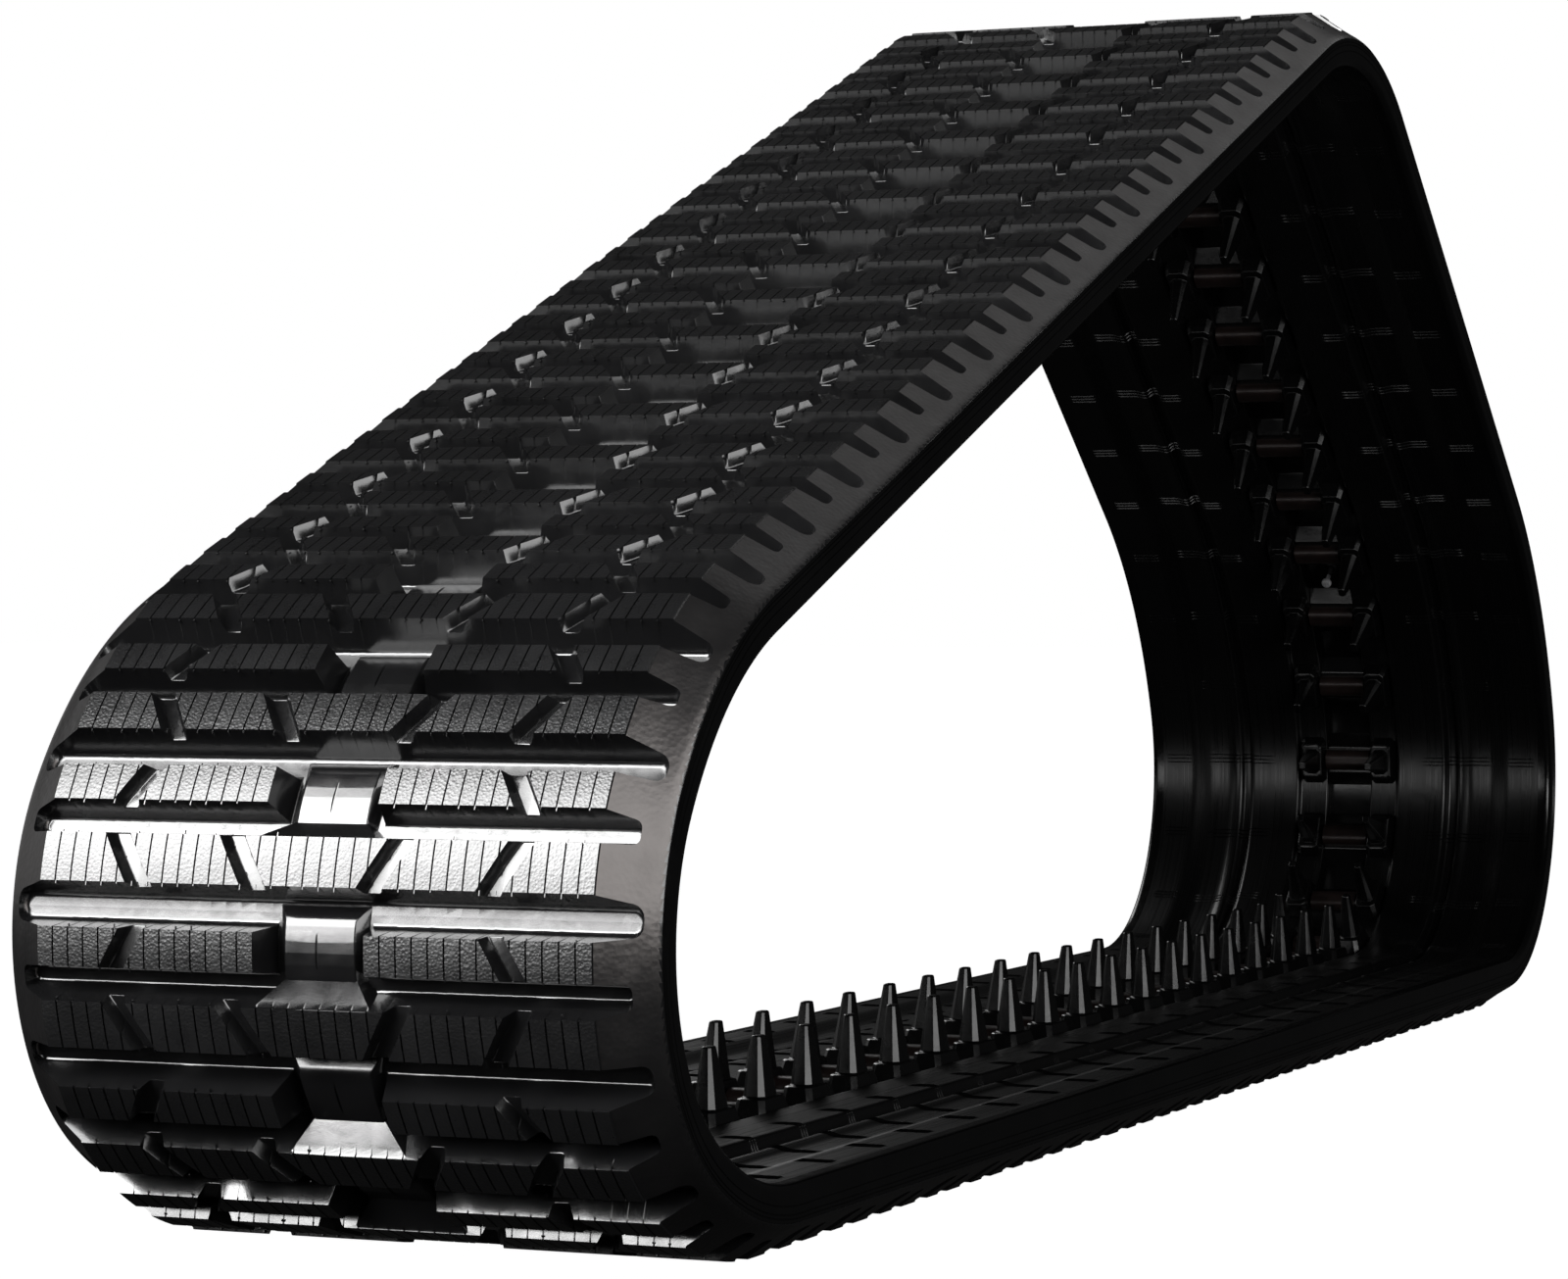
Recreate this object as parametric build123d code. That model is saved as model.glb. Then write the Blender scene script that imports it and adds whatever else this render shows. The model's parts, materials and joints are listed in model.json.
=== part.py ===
from build123d import *
import math
import os

# A steel-core rubber track for a compact track loader, standing up as the free loop that it
# springs into off the machine. Millimetres. X runs from the front bend to the rear bend, Y
# across the belt, Z up. The origin is on the ground at the middle of the loop's footprint.
#
# Each pitch of the belt is made flat, in a frame of its own: x along the belt, y across it,
# z inwards from the line of the steel cords. station() then carries it to its place.

# ---- driving dimensions ------------------------------------------------------------------
PITCH = 86.0
PITCH_COUNT = 60
BELT_WIDTH = 425.0

# Bends of the loop, as (radius of the cord line, turn in degrees). Three straight runs lie
# between them, and their lengths follow from the belt's length and the loop closing.
REAR_BEND = (194.0, 109.5)
REAR_UPPER_BEND = (455.0, 34.0)
APEX_BEND = (255.0, 57.5)
FRONT_UPPER_BEND = (280.0, 37.0)
FRONT_BEND = (160.0, 91.0)
FRONT_LOWER_BEND = (244.0, 31.0)
FIRST_ROW = 5.5                     # first tread row, from the start of the ground run

# Levels through the belt, inwards from the cord line.
LUG_TOP = -28.0
GROOVE_FLOOR = -5.0
PLY_TOP = -3.0
CORD_HALF = 2.0                     # the cord layer reaches this far on each side of the line
WING_OUTER = 4.0
WING_INNER = 9.8
CORE_LAYER = 10.0
INNER_FACE = 15.0
EDGE_FACE = 20.0
ROLLER_FACE = 21.0
BRIDGE_TOP = 23.5
HORN_FOOT_TOP = 29.0
HORN_TIP = 71.0

# Distances from the belt's centreline.
WINDOW_HALF = 23.0
ROLLER_IN = 52.0
ROLLER_OUT = 104.0
RAISED_IN = 160.0
EDGE_IN = 200.0
EDGE_OUT = BELT_WIDTH / 2

# Tread rows: full bars, and split bars half a pitch further on.
BLOCK_END = 180.0                   # where the block tops end and the shoulder ramps start
FULL_BAR = (25.0, 37.0)             # top and foot length along the belt
SPLIT_BAR = (20.0, 29.0)
SPLIT_OFFSET = 0.53 * PITCH
SPLIT_IN = 36.0
NOTCH_WIDTH = 16.5
NOTCH_FLOOR = -19.0
FULL_NOTCHES = (123.0, 46.5)        # middle of each notch, from the centreline
SPLIT_NOTCH = 124.0
NOTCH_LEAN = 8.5                    # how far a notch shifts across half a bar's top
PAD_TOP = -12.0
PAD = (33.0, 38.0)
PAD_HALF = (22.5, 27.0)

# Steel cores, in step with the full bars.
CORE_OFFSET = 4.0
BRIDGE_LENGTH = 21.0
BRIDGE_ROUND = 8.0
SKIRT_HALF = (28.0, 14.0)           # half length of the rubber round a bridge: foot, top
SKIRT_TOP = 13.0
WING_LENGTH = 40.0
WING_END = 150.0
HORN_FOOT = ((24.0, 50.0, 26.0), (26.0, 47.0, 22.0))     # inner, outer, half length: foot, top
HORN_SPIKE = ((27.5, 44.5, 15.0), (31.0, 38.0, 6.0))     # the same, where it starts and at its tip
SEAT_OVERLAP = 4.0                  # extra depth that is trimmed to the belt's curve

# A small zinc-plated stud stands in one sprocket window, near the foot of the rear wall.
STUD_WINDOW = 27                    # counted from the start of the ground run
STUD_SHANK = (2.2, 12.0)            # radius and length
STUD_HEAD = (5.0, 4.5)
STUD_ROUND = 2.5


# ---- the loop ----------------------------------------------------------------------------
def arc_length(bend):
    radius, turn = bend
    return radius * math.radians(turn)


def arc_step(bend, heading):
    """How far an arc moves along X and Z, when it starts at this heading."""
    radius, turn = bend
    end = math.radians(heading + turn)
    start = math.radians(heading)
    return (radius * (math.sin(end) - math.sin(start)), radius * (math.cos(start) - math.cos(end)))


def loop_segments():
    """The loop's runs and bends in order, as (length, turn), with the straight runs solved."""
    rear = (REAR_BEND, REAR_UPPER_BEND)
    front = (FRONT_UPPER_BEND, FRONT_BEND, FRONT_LOWER_BEND)
    wall_heading = sum(bend[1] for bend in rear)
    top_heading = wall_heading + APEX_BEND[1]
    heading = 0.0
    dx, dz, bent = 0.0, 0.0, 0.0
    for bend in rear + (APEX_BEND,) + front:
        step = arc_step(bend, heading)
        dx += step[0]
        dz += step[1]
        bent += arc_length(bend)
        heading += bend[1]
    wall = math.radians(wall_heading)
    top = math.radians(top_heading)
    spare = PITCH * PITCH_COUNT - bent + dx
    det = math.sin(wall) * (1 - math.cos(top)) - math.sin(top) * (1 - math.cos(wall))
    wall_run = (-dz * (1 - math.cos(top)) - math.sin(top) * spare) / det
    top_run = (math.sin(wall) * spare + dz * (1 - math.cos(wall))) / det
    ground_run = PITCH * PITCH_COUNT - bent - wall_run - top_run
    bends = [(arc_length(bend), bend[1]) for bend in rear]
    bends_front = [(arc_length(bend), bend[1]) for bend in front]
    apex = (arc_length(APEX_BEND), APEX_BEND[1])
    return [(ground_run, 0.0)] + bends + [(wall_run, 0.0), apex, (top_run, 0.0)] + bends_front


def walk(length, turn, x, z, heading, distance):
    """The point and heading at a distance along one segment."""
    if turn == 0.0:
        angle = math.radians(heading)
        return (x + distance * math.cos(angle), z + distance * math.sin(angle), heading)
    radius = length / math.radians(turn)
    part = turn * distance / length
    step = arc_step((radius, part), heading)
    return (x + step[0], z + step[1], heading + part)


SEGMENTS = loop_segments()


def station(distance, rise=0.0):
    """Point and heading of the loop at a distance along it, moved inwards by rise."""
    left = distance % (PITCH * PITCH_COUNT)
    x, z, heading = 0.0, 0.0, 0.0
    for length, turn in SEGMENTS:
        if left <= length:
            break
        x, z, heading = walk(length, turn, x, z, heading, length)
        left -= length
    x, z, heading = walk(length, turn, x, z, heading, left)
    angle = math.radians(heading)
    return (x - rise * math.sin(angle), z + rise * math.cos(angle), heading)


def loop_wire(rise, y):
    """The whole loop as a closed wire of lines and arcs, moved inwards by rise."""
    edges = []
    start = 0.0
    for length, turn in SEGMENTS:
        ends = [station(start + 1e-7, rise), station(start + length - 1e-7, rise)]
        points = [Vector(x, y, z) for x, z, _ in ends]
        if turn == 0.0:
            edges.append(points)
        else:
            x, z, _ = station(start + length / 2, rise)
            edges.append([points[0], Vector(x, y, z), points[1]])
        start += length
    for index, edge in enumerate(edges):
        edge[0] = edges[index - 1][-1]
    lines = [Edge.make_line(*e) if len(e) == 2 else Edge.make_three_point_arc(*e) for e in edges]
    return Wire(lines)


def band(y0, y1, low, high):
    """An endless band of the belt between two levels and two distances from the centreline."""
    ring = Face(loop_wire(low, y0), [loop_wire(high, y0)])
    return extrude(ring, amount=y1 - y0, dir=(0, 1, 0))


def place(shape, distance):
    x, z, heading = station(distance)
    return Location((x, 0, z), (0, -heading, 0)) * shape


def mirrored(shape):
    return mirror(shape, about=Plane.XZ)


def frustum(low, high, low_z, high_z):
    """A block between two rectangles, each (x half length, y inner, y outer)."""
    faces = []
    for (half, y0, y1), z in ((low, low_z), (high, high_z)):
        middle = Location((0, (y0 + y1) / 2, z))
        faces.append(middle * Rectangle(2 * half, y1 - y0))
    return loft(faces)


# ---- one pitch of each piece, flat ---------------------------------------------------------
def bar_prism(lengths, y0, y1):
    """A tread bar's trapezoid section, carried across the belt from y0 to y1."""
    top, foot = lengths[0] / 2, lengths[1] / 2
    low = GROOVE_FLOOR + SEAT_OVERLAP
    points = [(-foot, low), (-foot, GROOVE_FLOOR), (-top, LUG_TOP), (top, LUG_TOP)]
    points += [(foot, GROOVE_FLOOR), (foot, low)]
    section = Plane.XZ * make_face(Polyline(*points, close=True))
    return Location((0, y0, 0)) * extrude(section, amount=y1 - y0, dir=(0, 1, 0))


def shoulder_limit(length):
    """The belt's outline across its width, with the ramps from the blocks down to the rims."""
    low = GROOVE_FLOOR + SEAT_OVERLAP
    ramp_foot = GROOVE_FLOOR - 1.0
    side = [(EDGE_OUT, low), (EDGE_OUT, ramp_foot), (BLOCK_END, LUG_TOP)]
    points = side + [(-y, z) for y, z in reversed(side)]
    outline = Plane.YZ * make_face(Polyline(*points, close=True))
    return Location((-length / 2, 0, 0)) * extrude(outline, amount=length, dir=(1, 0, 0))


def notch(y, lean, length):
    """A shallow slanted notch across a bar's top: y at its middle, lean at the bar's far side."""
    half = NOTCH_WIDTH / 2
    reach = length / 2
    slope = lean / (length / 2)
    points = [(-reach, y - slope * reach - half), (reach, y + slope * reach - half)]
    points += [(reach, y + slope * reach + half), (-reach, y - slope * reach + half)]
    outline = Location((0, 0, LUG_TOP - 1)) * make_face(Polyline(*points, close=True))
    return extrude(outline, amount=NOTCH_FLOOR - LUG_TOP + 1, dir=(0, 0, 1))


def full_bar():
    bar = bar_prism(FULL_BAR, -EDGE_OUT, EDGE_OUT) & shoulder_limit(FULL_BAR[1])
    for y in FULL_NOTCHES:
        cut = notch(y, -NOTCH_LEAN, FULL_BAR[1])
        bar = bar - cut - mirrored(cut)
    return bar


def split_bar():
    """The half of a split row on the +Y side."""
    bar = bar_prism(SPLIT_BAR, SPLIT_IN, EDGE_OUT) & shoulder_limit(SPLIT_BAR[1])
    return bar - notch(SPLIT_NOTCH, NOTCH_LEAN, SPLIT_BAR[1])


def window_pad():
    """The low raised pad that closes a sprocket window on the tread side."""
    low = GROOVE_FLOOR + SEAT_OVERLAP
    foot = (PAD[1] / 2, -PAD_HALF[1], PAD_HALF[1])
    top = (PAD[0] / 2, -PAD_HALF[0], PAD_HALF[0])
    skirt = frustum(foot, foot, GROOVE_FLOOR, low)
    return frustum(top, foot, PAD_TOP, GROOVE_FLOOR) + skirt


def core_bridge():
    """The rounded bar between a core's wings, which the sprocket drives."""
    bar = Box(BRIDGE_LENGTH, 2 * WINDOW_HALF, BRIDGE_TOP - WING_OUTER)
    inner_edges = bar.edges().filter_by(Axis.Y).group_by(Axis.Z)[-1]
    return Location((0, 0, (BRIDGE_TOP + WING_OUTER) / 2)) * fillet(inner_edges, BRIDGE_ROUND)


def steel_core():
    """Two embedded wings joined by the bridge."""
    wing_height = WING_INNER - WING_OUTER
    middle = Location((0, 0, (WING_INNER + WING_OUTER) / 2))
    wings = middle * Box(WING_LENGTH, 2 * WING_END, wing_height)
    gap = middle * Box(WING_LENGTH, 2 * WINDOW_HALF, wing_height)
    return (wings - gap) + core_bridge()


def bridge_skirt():
    """The rubber that wraps the foot of a bridge and slopes down to the floors beside it."""
    foot = (SKIRT_HALF[0], -WINDOW_HALF, WINDOW_HALF)
    top = (SKIRT_HALF[1], -WINDOW_HALF, WINDOW_HALF)
    return frustum(foot, top, CORD_HALF, SKIRT_TOP) - core_bridge()


def core_wing():
    """The pocket that one wing of a core lies in, on the +Y side, open inwards."""
    size = (WING_LENGTH, WING_END - WINDOW_HALF, INNER_FACE - WING_OUTER)
    middle = ((WING_END + WINDOW_HALF) / 2, (INNER_FACE + WING_OUTER) / 2)
    return Location((0, middle[0], middle[1])) * Box(*size)


def guide_horn():
    """A guide horn on the +Y side: a broad foot and a tapered spike."""
    def outline(size):
        inner, outer, half = size
        return (half, inner, outer)
    foot = [outline(size) for size in HORN_FOOT]
    spike = [outline(size) for size in HORN_SPIKE]
    skirt = frustum(foot[0], foot[0], INNER_FACE - SEAT_OVERLAP, INNER_FACE)
    base = frustum(foot[0], foot[1], INNER_FACE, HORN_FOOT_TOP)
    return skirt + base + frustum(spike[0], spike[1], HORN_FOOT_TOP, HORN_TIP)


def window_stud():
    """A round-headed stud on the floor of a sprocket window."""
    shank = Location((0, 0, STUD_SHANK[1] / 2)) * Cylinder(*STUD_SHANK)
    head = Location((0, 0, STUD_SHANK[1] + STUD_HEAD[1] / 2)) * Cylinder(*STUD_HEAD)
    return shank + fillet(head.edges().group_by(Axis.Z)[-1], STUD_ROUND)


# ---- endless rubber and steel layers -------------------------------------------------------
def both_sides(shape_of):
    """A layer on the +Y side (left) and its mirror image on the -Y side (right)."""
    left = shape_of()
    return left, mirrored(left)


def inner_cover():
    flat = band(WINDOW_HALF, EDGE_IN, CORE_LAYER, INNER_FACE)
    roller_path = band(ROLLER_IN, ROLLER_OUT, INNER_FACE, ROLLER_FACE)
    raised = band(RAISED_IN, EDGE_IN, INNER_FACE, EDGE_FACE)
    return flat + roller_path + raised


def core_cushion(wing_distances):
    layer = band(WINDOW_HALF, EDGE_IN, CORD_HALF, CORE_LAYER)
    wing = core_wing()
    return layer - [place(wing, distance) for distance in wing_distances]


def edge_wall():
    return band(EDGE_IN, EDGE_OUT, GROOVE_FLOOR, EDGE_FACE)


def cord_belt():
    return band(WINDOW_HALF, EDGE_IN, -CORD_HALF, CORD_HALF)


# ---- the assembly --------------------------------------------------------------------------
rows = [FIRST_ROW + PITCH * index for index in range(PITCH_COUNT)]
split_rows = [distance + SPLIT_OFFSET for distance in rows]
cores = [distance + CORE_OFFSET for distance in rows]
windows = [distance + PITCH / 2 for distance in cores]

nodes = {}
nodes["tread_base"] = [band(-EDGE_IN, EDGE_IN, GROOVE_FLOOR, PLY_TOP)]
nodes["bias_ply"] = [band(-EDGE_IN, EDGE_IN, PLY_TOP, -CORD_HALF)]
membrane = band(-WINDOW_HALF, WINDOW_HALF, -CORD_HALF, CORD_HALF)
nodes["window_membrane"] = [membrane]
layers = {
    "cord_belt": both_sides(cord_belt),
    "core_cushion": both_sides(lambda: core_cushion(cores)),
    "inner_cover": both_sides(inner_cover),
    "edge_wall": both_sides(edge_wall),
}
for name, (left, right) in layers.items():
    nodes[name + "_left"] = [left]
    nodes[name + "_right"] = [right]

outer_trim = band(-EDGE_OUT, EDGE_OUT, GROOVE_FLOOR, EDGE_FACE)
inner_trim = band(-ROLLER_IN, ROLLER_IN, -CORD_HALF, INNER_FACE)


def seated(shape, distances, trim):
    """Copies of a piece along the belt, each trimmed to the curve of the surface it sits on."""
    return [place(shape, distance) - trim for distance in distances]


half_bar = split_bar()
horn = guide_horn()
nodes["full_tread_bars"] = seated(full_bar(), rows, outer_trim)
nodes["split_tread_bars_left"] = seated(half_bar, split_rows, outer_trim)
nodes["split_tread_bars_right"] = seated(mirrored(half_bar), split_rows, outer_trim)
nodes["window_pads"] = seated(window_pad(), windows, outer_trim)
nodes["steel_cores"] = [place(steel_core(), distance) for distance in cores]
nodes["bridge_skirts"] = seated(bridge_skirt(), cores, membrane)
nodes["guide_horns_left"] = seated(horn, cores, inner_trim)
nodes["guide_horns_right"] = seated(mirrored(horn), cores, inner_trim)
nodes["window_stud"] = seated(window_stud(), [windows[STUD_WINDOW]], membrane)

ends = Compound(children=nodes["full_tread_bars"] + nodes["split_tread_bars_left"]).bounding_box()
to_origin = Location((-(ends.min.X + ends.max.X) / 2, 0, -LUG_TOP))

os.makedirs("parts", exist_ok=True)
for name, pieces in nodes.items():
    solids = [solid for piece in pieces for solid in (to_origin * piece).solids()]
    export_step(Compound(children=solids), f"parts/{name}.step")
    print(name, len(solids), "solids")
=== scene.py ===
import json
import math
import random
import bmesh
import bpy
import numpy as np
from mathutils import Matrix, Vector

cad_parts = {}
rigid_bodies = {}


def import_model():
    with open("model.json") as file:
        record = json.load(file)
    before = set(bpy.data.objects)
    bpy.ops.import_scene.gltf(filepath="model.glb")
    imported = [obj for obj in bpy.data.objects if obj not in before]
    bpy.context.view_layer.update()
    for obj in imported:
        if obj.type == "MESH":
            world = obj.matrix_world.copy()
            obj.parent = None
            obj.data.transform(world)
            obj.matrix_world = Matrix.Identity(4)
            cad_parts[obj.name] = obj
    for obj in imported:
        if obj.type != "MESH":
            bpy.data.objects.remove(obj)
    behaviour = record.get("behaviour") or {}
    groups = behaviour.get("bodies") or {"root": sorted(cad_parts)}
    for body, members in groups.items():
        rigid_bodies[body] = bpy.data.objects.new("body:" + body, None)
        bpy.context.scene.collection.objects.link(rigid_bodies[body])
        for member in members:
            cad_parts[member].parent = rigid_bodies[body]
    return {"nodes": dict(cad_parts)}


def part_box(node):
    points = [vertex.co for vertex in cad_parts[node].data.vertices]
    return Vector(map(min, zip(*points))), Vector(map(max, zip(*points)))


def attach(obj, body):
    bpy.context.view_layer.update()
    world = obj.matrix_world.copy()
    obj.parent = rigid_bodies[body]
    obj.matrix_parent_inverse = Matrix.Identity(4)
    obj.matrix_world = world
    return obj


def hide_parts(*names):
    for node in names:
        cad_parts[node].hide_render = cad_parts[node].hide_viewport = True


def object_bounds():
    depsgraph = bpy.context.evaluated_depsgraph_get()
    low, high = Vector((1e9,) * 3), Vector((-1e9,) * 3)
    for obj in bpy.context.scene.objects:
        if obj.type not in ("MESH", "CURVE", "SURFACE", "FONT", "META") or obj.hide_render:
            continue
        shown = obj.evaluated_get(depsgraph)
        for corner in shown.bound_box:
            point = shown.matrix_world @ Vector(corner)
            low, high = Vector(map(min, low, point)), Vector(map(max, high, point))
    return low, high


# A rubber track standing as a free loop. Every rubber piece is made for one pitch in flat
# millimetres (x along the belt, y across it, z inwards from the cord line) or as a profile
# across the belt, and then wrapped round the loop.

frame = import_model()
cad_low, cad_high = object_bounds()

# ---- camera ------------------------------------------------------------------------------
CAMERA_OFFSET = Vector((-3.403, -1.233, -0.061))    # from the middle of the CAD box
CAMERA_AIM = Vector((0.92362, 0.38325, -0.00683))
LENS = 102.3
SENSOR = 36.0

camera = bpy.data.objects.new("camera", bpy.data.cameras.new("camera"))
bpy.context.scene.collection.objects.link(camera)
camera.location = (cad_low + cad_high) / 2 + CAMERA_OFFSET
camera.rotation_mode = "QUATERNION"
camera.rotation_quaternion = CAMERA_AIM.to_track_quat("-Z", "Y")
camera.data.lens = LENS
camera.data.sensor_width = SENSOR
camera.data.clip_end = 200.0
bpy.context.scene.camera = camera

# ---- the loop, as in the CAD source --------------------------------------------------------
# Bends are (radius of the cord line, turn in degrees), lengths are millimetres.
PITCH = 86.0
PITCH_COUNT = 60
HALF_WIDTH = 212.5
REAR_BEND = (194.0, 109.5)
REAR_UPPER_BEND = (455.0, 34.0)
APEX_BEND = (255.0, 57.5)
FRONT_UPPER_BEND = (280.0, 37.0)
FRONT_BEND = (160.0, 91.0)
FRONT_LOWER_BEND = (244.0, 31.0)
FIRST_ROW = 5.5
CORE_OFFSET = 4.0
SPLIT_OFFSET = 0.53 * PITCH
LUG_TOP = -28.0                     # levels, inwards from the cord line
FLOOR = -5.0
ROOF = -31.0                        # clear of the lug tops, where cutters end
LENGTH = PITCH * PITCH_COUNT


def arc_length(bend):
    return bend[0] * math.radians(bend[1])


def arc_step(bend, heading):
    radius, turn = bend
    end = math.radians(heading + turn)
    start = math.radians(heading)
    return (radius * (math.sin(end) - math.sin(start)), radius * (math.cos(start) - math.cos(end)))


def loop_segments():
    """(length, turn) of each run and bend, with the three straight runs solved to close the loop."""
    rear = [REAR_BEND, REAR_UPPER_BEND]
    front = [FRONT_UPPER_BEND, FRONT_BEND, FRONT_LOWER_BEND]
    heading, dx, dz, bent = 0.0, 0.0, 0.0, 0.0
    for bend in rear + [APEX_BEND] + front:
        step = arc_step(bend, heading)
        dx += step[0]
        dz += step[1]
        bent += arc_length(bend)
        heading += bend[1]
    wall = math.radians(sum(bend[1] for bend in rear))
    top = wall + math.radians(APEX_BEND[1])
    spare = LENGTH - bent + dx
    det = math.sin(wall) * (1 - math.cos(top)) - math.sin(top) * (1 - math.cos(wall))
    wall_run = (-dz * (1 - math.cos(top)) - math.sin(top) * spare) / det
    top_run = (math.sin(wall) * spare + dz * (1 - math.cos(wall))) / det
    parts = [(LENGTH - bent - wall_run - top_run, 0.0)]
    parts += [(arc_length(bend), bend[1]) for bend in rear] + [(wall_run, 0.0)]
    parts += [(arc_length(APEX_BEND), APEX_BEND[1]), (top_run, 0.0)]
    return parts + [(arc_length(bend), bend[1]) for bend in front]


SEGMENTS = loop_segments()
STARTS = np.concatenate([[0.0], np.cumsum([length for length, _ in SEGMENTS])])


def segment_origins():
    """Point and heading (radians) where each segment starts."""
    x, z, heading = 0.0, 0.0, 0.0
    origins = []
    for length, turn in SEGMENTS:
        origins.append((x, z, math.radians(heading)))
        if turn:
            step = arc_step((length / math.radians(turn), turn), heading)
            x, z, heading = x + step[0], z + step[1], heading + turn
        else:
            angle = math.radians(heading)
            x, z = x + length * math.cos(angle), z + length * math.sin(angle)
    return np.array(origins)


ORIGINS = segment_origins()
BENT = np.array([math.radians(turn) / length for length, turn in SEGMENTS])


MILLIMETRE = 0.001
SHIFT = np.zeros(3)                 # moves the loop onto the CAD base, once that is measured


def wrap(points):
    """Flat points (along, across, inwards) in millimetres, laid round the loop in metres."""
    points = np.asarray(points, float)
    along = np.mod(points[:, 0], LENGTH)
    index = np.clip(np.searchsorted(STARTS, along, side="right") - 1, 0, len(SEGMENTS) - 1)
    run = along - STARTS[index]
    x, z, start = ORIGINS[index].T
    bend = BENT[index]
    turned = start + bend * run
    radius = 1.0 / np.where(bend == 0, 1.0, bend)
    dx = np.where(bend == 0, run * np.cos(start), radius * (np.sin(turned) - np.sin(start)))
    dz = np.where(bend == 0, run * np.sin(start), radius * (np.cos(start) - np.cos(turned)))
    out = np.empty_like(points)
    out[:, 0] = x + dx - points[:, 2] * np.sin(turned)
    out[:, 1] = points[:, 1]
    out[:, 2] = z + dz + points[:, 2] * np.cos(turned)
    return out * MILLIMETRE + SHIFT


base_low, base_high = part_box("tread_base")
line = np.column_stack([np.arange(0, LENGTH, 1.0), np.zeros(int(LENGTH)), np.full(int(LENGTH), FLOOR)])
outer_line = wrap(line)
middle = (base_low[0] + base_high[0] - outer_line[:, 0].min() - outer_line[:, 0].max()) / 2
SHIFT = np.array([middle, 0.0, base_low[2] - outer_line[:, 2].min()])


# ---- materials ---------------------------------------------------------------------------
NOISE_RANGE = (0.3, 0.7)            # most of a noise texture lies in here
FINE_GRAIN = (1400.0, 0.00002)      # texture scale and height in metres


def tree_of(name):
    material = bpy.data.materials.new(name)
    material.use_nodes = True
    nodes = material.node_tree.nodes
    return material, nodes, material.node_tree.links, nodes["Principled BSDF"]


def noise(nodes, links, source, scale, detail=4.0, rough=0.55, distortion=0.0):
    texture = nodes.new("ShaderNodeTexNoise")
    texture.inputs["Scale"].default_value = scale
    texture.inputs["Detail"].default_value = detail
    texture.inputs["Roughness"].default_value = rough
    texture.inputs["Distortion"].default_value = distortion
    links.new(source, texture.inputs["Vector"])
    return texture.outputs["Fac"]


def spread(nodes, links, value, low, high):
    """A noise, mapped to low to high."""
    mapped = nodes.new("ShaderNodeMapRange")
    start, end = NOISE_RANGE
    for key, number in (("From Min", start), ("From Max", end), ("To Min", low), ("To Max", high)):
        mapped.inputs[key].default_value = number
    links.new(value, mapped.inputs["Value"])
    return mapped.outputs["Result"]


def tint(nodes, links, value, dark, light):
    """A noise, mapped from a dark colour to a light one."""
    ramp = nodes.new("ShaderNodeValToRGB")
    for stop, position, colour in zip(ramp.color_ramp.elements, NOISE_RANGE, (dark, light)):
        stop.position = position
        stop.color = (*colour, 1)
    links.new(value, ramp.inputs["Fac"])
    return ramp.outputs["Color"]


def bumped(nodes, links, height, distance, under=None):
    """A bump of some metres, on top of the one under it."""
    bump = nodes.new("ShaderNodeBump")
    bump.inputs["Strength"].default_value = 1.0
    bump.inputs["Distance"].default_value = distance
    links.new(height, bump.inputs["Height"])
    if under is not None:
        links.new(under, bump.inputs["Normal"])
    return bump.outputs["Normal"]


def rubber(name, dark, light, rough, wave, grain=None):
    """Black moulded rubber: grain and wave are (texture scale, height), rough is (low, high)."""
    material, nodes, links, shader = tree_of(name)
    where = nodes.new("ShaderNodeTexCoord").outputs["Object"]
    cloud = noise(nodes, links, where, 9.0)
    links.new(tint(nodes, links, cloud, dark, light), shader.inputs["Base Color"])
    blotch = noise(nodes, links, where, 45.0, 6.0, 0.65)
    links.new(spread(nodes, links, blotch, *rough), shader.inputs["Roughness"])
    normal = bumped(nodes, links, noise(nodes, links, where, wave[0], 3.0, 0.5, 0.6), wave[1])
    normal = bumped(nodes, links, noise(nodes, links, where, FINE_GRAIN[0], 2.0), FINE_GRAIN[1], normal)
    if grain:
        cells = nodes.new("ShaderNodeTexVoronoi")
        cells.feature = "SMOOTH_F1"
        cells.inputs["Scale"].default_value = grain[0]
        cells.inputs["Smoothness"].default_value = 0.35
        links.new(where, cells.inputs["Vector"])
        normal = bumped(nodes, links, cells.outputs["Distance"], grain[1], normal)
    links.new(normal, shader.inputs["Normal"])
    return material


def streaked_rubber(name, dark, light, rough):
    """Smooth inner rubber with the fine lines of the turned mould, which run along the belt."""
    material, nodes, links, shader = tree_of(name)
    where = nodes.new("ShaderNodeTexCoord").outputs["Object"]
    cloud = noise(nodes, links, where, 7.0)
    links.new(tint(nodes, links, cloud, dark, light), shader.inputs["Base Color"])
    across = nodes.new("ShaderNodeMapping")
    across.inputs["Scale"].default_value = (3.0, 700.0, 3.0)
    links.new(where, across.inputs["Vector"])
    lines = noise(nodes, links, across.outputs["Vector"], 1.0, 3.0, 0.6)
    links.new(spread(nodes, links, lines, *rough), shader.inputs["Roughness"])
    normal = bumped(nodes, links, lines, 0.00001)
    wave = noise(nodes, links, where, 28.0, 4.0, 0.5, 0.8)
    normal = bumped(nodes, links, wave, 0.0003, normal)
    links.new(normal, shader.inputs["Normal"])
    return material


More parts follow.
